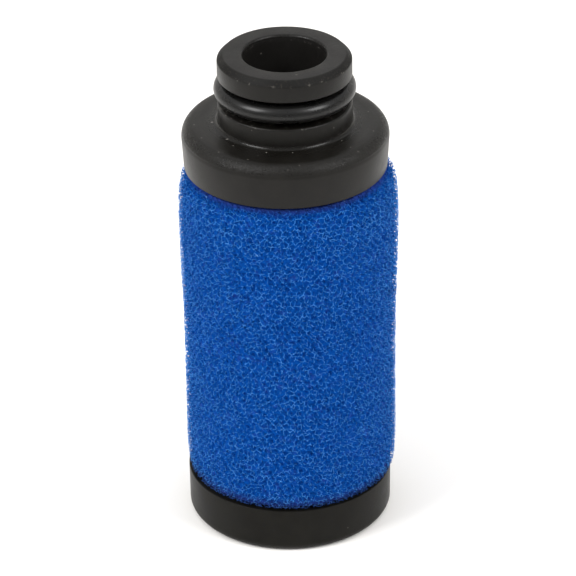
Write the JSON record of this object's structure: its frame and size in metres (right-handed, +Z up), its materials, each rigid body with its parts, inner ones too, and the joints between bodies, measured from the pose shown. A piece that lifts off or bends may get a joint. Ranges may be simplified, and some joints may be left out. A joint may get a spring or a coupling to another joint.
{
  "type": "compressed air filter element",
  "caption": "Cylindrical coalescing filter cartridge: black end caps, a spigot neck with an O-ring, and a blue foam drain sleeve over a wrapped filter pack.",
  "frame": {"origin": "centre of the bottom end cap's flat base", "axes": "+Z up the element's axis, from the closed base to the open neck; +X is any radius, because the element is round"},
  "size_m": [0.0348, 0.0348, 0.0808],
  "materials": {
    "black_nylon": "satin moulded",
    "nitrile": "lightly greased",
    "blue_foam": "open-cell foam",
    "stainless": "perforated sheet",
    "filter_fabric": "spun fabric",
    "glass_fibre": "glass microfibre",
    "amber_resin": "cured resin"
  },
  "bodies": {
    "root": {"top_end_cap": "black_nylon", "neck_o_ring": "nitrile", "foam_drain_sleeve": "blue_foam", "bottom_end_cap": "black_nylon", "inner_support_core": "stainless", "inner_support_fabric": "filter_fabric", "prefilter_layer": "glass_fibre", "microfibre_media": "glass_fibre", "outer_support_fabric": "filter_fabric", "outer_support_core": "stainless", "top_potting_ring": "amber_resin", "bottom_potting_ring": "amber_resin"}
  },
  "joints": []
}
